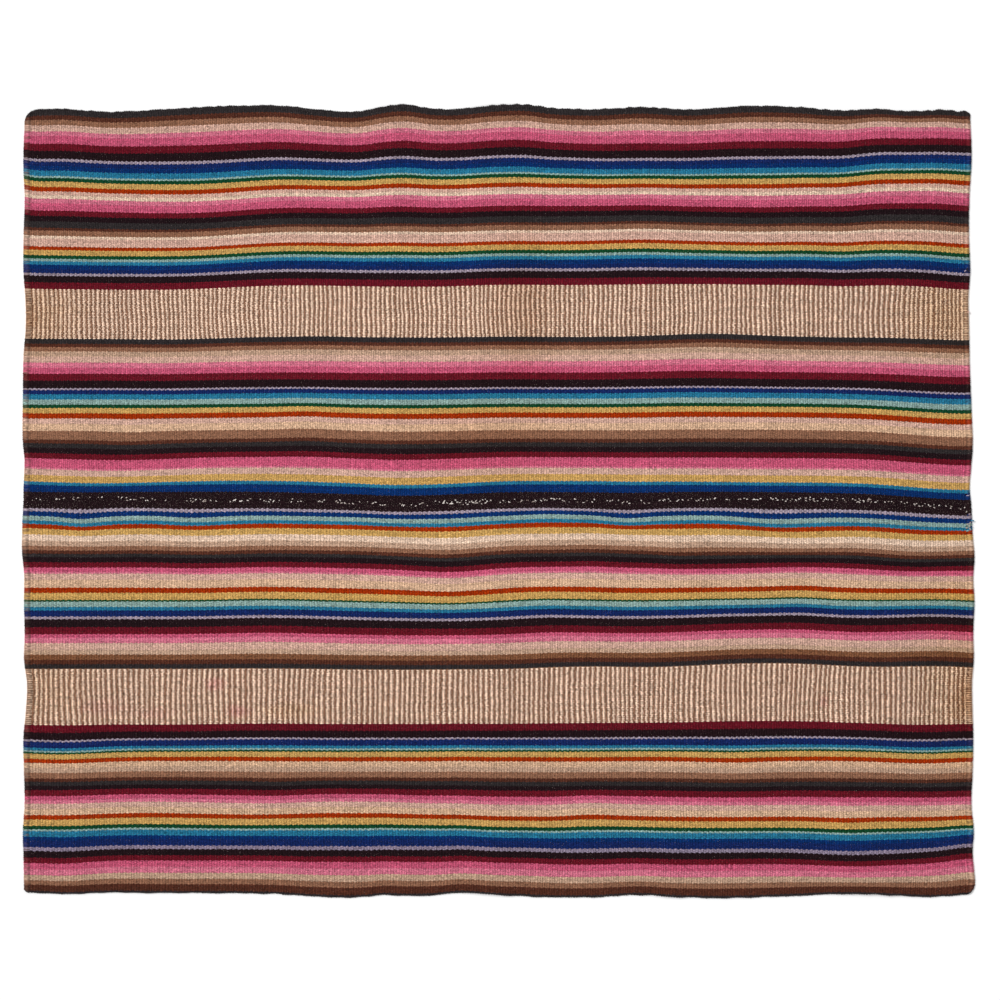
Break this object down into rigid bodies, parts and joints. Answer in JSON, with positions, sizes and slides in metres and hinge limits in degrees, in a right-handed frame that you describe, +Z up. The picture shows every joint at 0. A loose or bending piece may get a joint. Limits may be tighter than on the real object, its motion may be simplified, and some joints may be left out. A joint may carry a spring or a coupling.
{
  "type": "woven blanket",
  "caption": "Flat rectangular hand-woven wool blanket of loom panels sewn together along the middle, striped along its length, lying with low soft folds.",
  "frame": {"origin": "middle of the blanket's box, on the surface that it lies on", "axes": "+X along the stripes and the length, +Y across the stripes towards the upper panel, +Z up out of the face"},
  "size_m": [1.6003, 1.3333, 0.0124],
  "materials": {
    "striped_wool": "matt wool in a warp-faced plain weave, striped in many colours",
    "sewing_thread": "matt pale wool thread"
  },
  "bodies": {
    "root": {"upper_panel": "striped_wool", "lower_panel": "striped_wool"}
  },
  "joints": []
}
